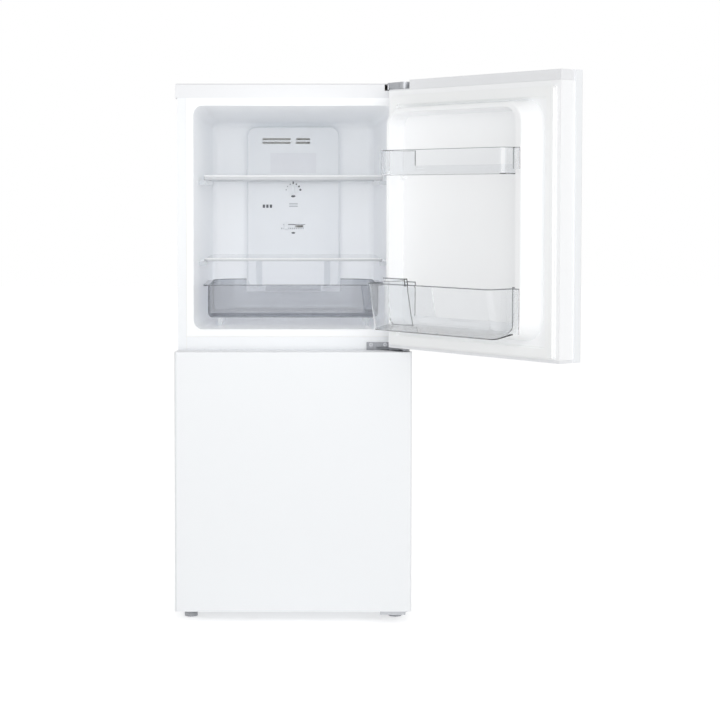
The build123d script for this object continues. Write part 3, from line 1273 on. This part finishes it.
def frame_ring(clear):
    """The raised frame round the pocket of the upper door, with a clearance inside it."""
    with BuildPart() as ring:
        block((-DOOR_HALF, DOOR_HALF), (Y_PANEL + 0.1, Y_CREST + 0.4), UPPER_DOOR_Z)
        x0, x1, zl, zh, r = UPPER.pocket_foot
        foot_rect = (x0 + clear, x1 - clear, zl + clear, zh - clear, r - clear)
        x0, x1, zl, zh, r = UPPER.pocket
        crest_rect = (x0 + clear, x1 - clear, zl + clear, zh - clear, r - clear)
        add(tapered(Y_PANEL, foot_rect, Y_CREST + 6.0, crest_rect), mode=Mode.SUBTRACT)
    return ring.part


def bin_form(profile, inset, radius):
    """Solid under a bin's outline (y, z points, back first), rounded at its front corners."""
    x0, x1 = BIN_X[0] + inset, BIN_X[1] - inset
    with BuildPart() as form:
        with BuildSketch(at_x(x0)):
            with BuildLine():
                Polyline(*profile, close=True)
            make_face()
        extrude(amount=x1 - x0)
        slopes = [e for e in form.edges() if abs(e.length) > 30 and abs(e.tangent_at(0.5).X) < 0.1]
        fronts = sorted(slopes, key=lambda e: -e.center().Y)[:2]
        fillet(fronts, radius)
        add(frame_ring(0.3 + inset), mode=Mode.SUBTRACT)
    return form.part


def bin_shell(outer, inner, z0, z1, back_height):
    """Open clear bin: low back wall with raised ends, and flanges over the raised frame."""
    with BuildPart() as shell:
        add(bin_form(outer, 0.0, 12.0))
        add(bin_form(inner, TUB, 12.0 - TUB), mode=Mode.SUBTRACT)
        block(
            (BIN_X[0] + 38, BIN_X[1] - 38),
            (Y_PANEL, Y_PANEL + 12),
            (outer[0][1] + back_height, z1 + 5),
            Mode.SUBTRACT,
        )
        flanges = (
            (BIN_X[0] - BIN_FLANGE[0], BIN_X[0] + 1),
            (BIN_X[1] - 1, BIN_X[1] + BIN_FLANGE[1]),
        )
        for flange in flanges:
            block(flange, (Y_CREST + 0.4, Y_CREST + 0.4 + TUB), (z0 + 10, z1))
    return shell


back = Y_PANEL + 0.5
front = Y_DOOR + UPPER_BIN_FRONT
z0, z1 = UPPER_BIN_Z
upper_outer = [(back, z0), (front, z0), (front, z1), (back, z1)]
upper_inner = [
    (back + TUB, z0 + TUB),
    (front - TUB, z0 + TUB),
    (front - TUB, z1 + 5),
    (back + TUB, z1 + 5),
]
upper_bin = bin_shell(upper_outer, upper_inner, z0, z1, BIN_BACK)
keep(upper_bin, "upper_bin", DOOR_OPEN)

foot, rim = Y_DOOR + LOWER_BIN_FRONT[0], Y_DOOR + LOWER_BIN_FRONT[1]
z0, z1 = LOWER_BIN_Z
seat = UPPER.pocket[2] + 0.3
lean = (rim - foot) / (z1 - z0)
lower_outer = [(back, seat), (Y_CREST + 4, seat), (foot, z0), (rim, z1), (back, z1)]
lower_inner = [
    (back + TUB, seat + TUB),
    (Y_CREST + 4.5, seat + TUB),
    (foot - TUB, z0 + TUB),
    (rim - TUB + 5 * lean, z1 + 5),
    (back + TUB, z1 + 5),
]
lower_bin = bin_shell(lower_outer, lower_inner, z0, z1, BIN_BACK)
keep(lower_bin, "lower_bin", DOOR_OPEN)

# Bottle holder: hooks over the bottle bin's rim, with a plate down its front and a divider.
HOOK = 12.0
with BuildPart() as bottle_holder:
    gap = 0.8
    inside_rim, inside_foot = rim - TUB - gap, foot - TUB - gap + 14 * lean
    plate = 2.0
    x0 = UPPER.pocket[1] - SNUGGER_INSET - SNUGGER_WIDTH / 2
    with BuildSketch(at_x(x0)):
        with BuildLine():
            Polyline(
                (inside_foot - plate, z0 + 14),
                (inside_rim - plate + HOOK * lean, z1 + HOOK),
                (rim + 4.0 + HOOK * lean, z1 + HOOK),
                (rim + 4.0, z1 - 4),
                (rim + 1.6, z1 - 4),
                (rim + 1.6 + HOOK * lean, z1 + HOOK - 2),
                (inside_rim + HOOK * lean, z1 + HOOK - 2),
                (inside_foot, z0 + 14),
                close=True,
            )
        make_face()
    extrude(amount=SNUGGER_WIDTH)
    # divider that stands back from the plate, between the bottles
    with BuildSketch(at_x(x0)):
        with BuildLine():
            Polyline(
                (inside_foot - 62, z0 + 30),
                (inside_foot - 1 + 16 * lean, z0 + 30),
                (inside_rim - 1 - 6 * lean, z1 - 6),
                (inside_foot - 50, z1 - 6),
                close=True,
            )
        make_face()
    extrude(amount=plate)
keep(bottle_holder, "bottle_holder", DOOR_OPEN)

# ================================================================ feet and rollers
with BuildPart() as foot_left:
    with BuildSketch(at_z(FLOOR)):
        with Locations((-FOOT_X, FOOT_Y)):
            Circle(FOOT_RADIUS)
            # finger ribs all round
            with PolarLocations(FOOT_RADIUS + 0.5, FOOT_RIBS):
                Circle(1.6, mode=Mode.SUBTRACT)
    extrude(amount=7.5)
    with BuildSketch(at_z(FLOOR + 7.5)):
        with Locations((-FOOT_X, FOOT_Y)):
            Circle(FOOT_RADIUS - 2.5)
    extrude(amount=1.5)
    with BuildSketch(at_z(FLOOR + 9.0)):
        with Locations((-FOOT_X, FOOT_Y)):
            RegularPolygon(8.0, 6)
    extrude(amount=6.0)
    with BuildSketch(at_z(FLOOR + 15.0)):
        with Locations((-FOOT_X, FOOT_Y)):
            Circle(STUD_RADIUS)
    extrude(amount=21.0)
keep(foot_left, "foot_left")

with BuildPart() as foot_right:
    mirror(foot_left.part, about=Plane.YZ)
keep(foot_right, "foot_right")


def roller(x):
    """Rear roller with a rounded tread, on the base pan's axle."""
    with BuildPart() as wheel:
        with Locations(Location((x, ROLLER_Y, AXLE_Z), (0, 90, 0))):
            Cylinder(ROLLER_RADIUS, ROLLER_WIDTH)
            fillet(wheel.edges().filter_by(GeomType.CIRCLE), 2.0)
            Cylinder(3.0 + RUNNING, ROLLER_WIDTH + 2, mode=Mode.SUBTRACT)
    return wheel


keep(roller(-ROLLER_X), "roller_left")
keep(roller(ROLLER_X), "roller_right")
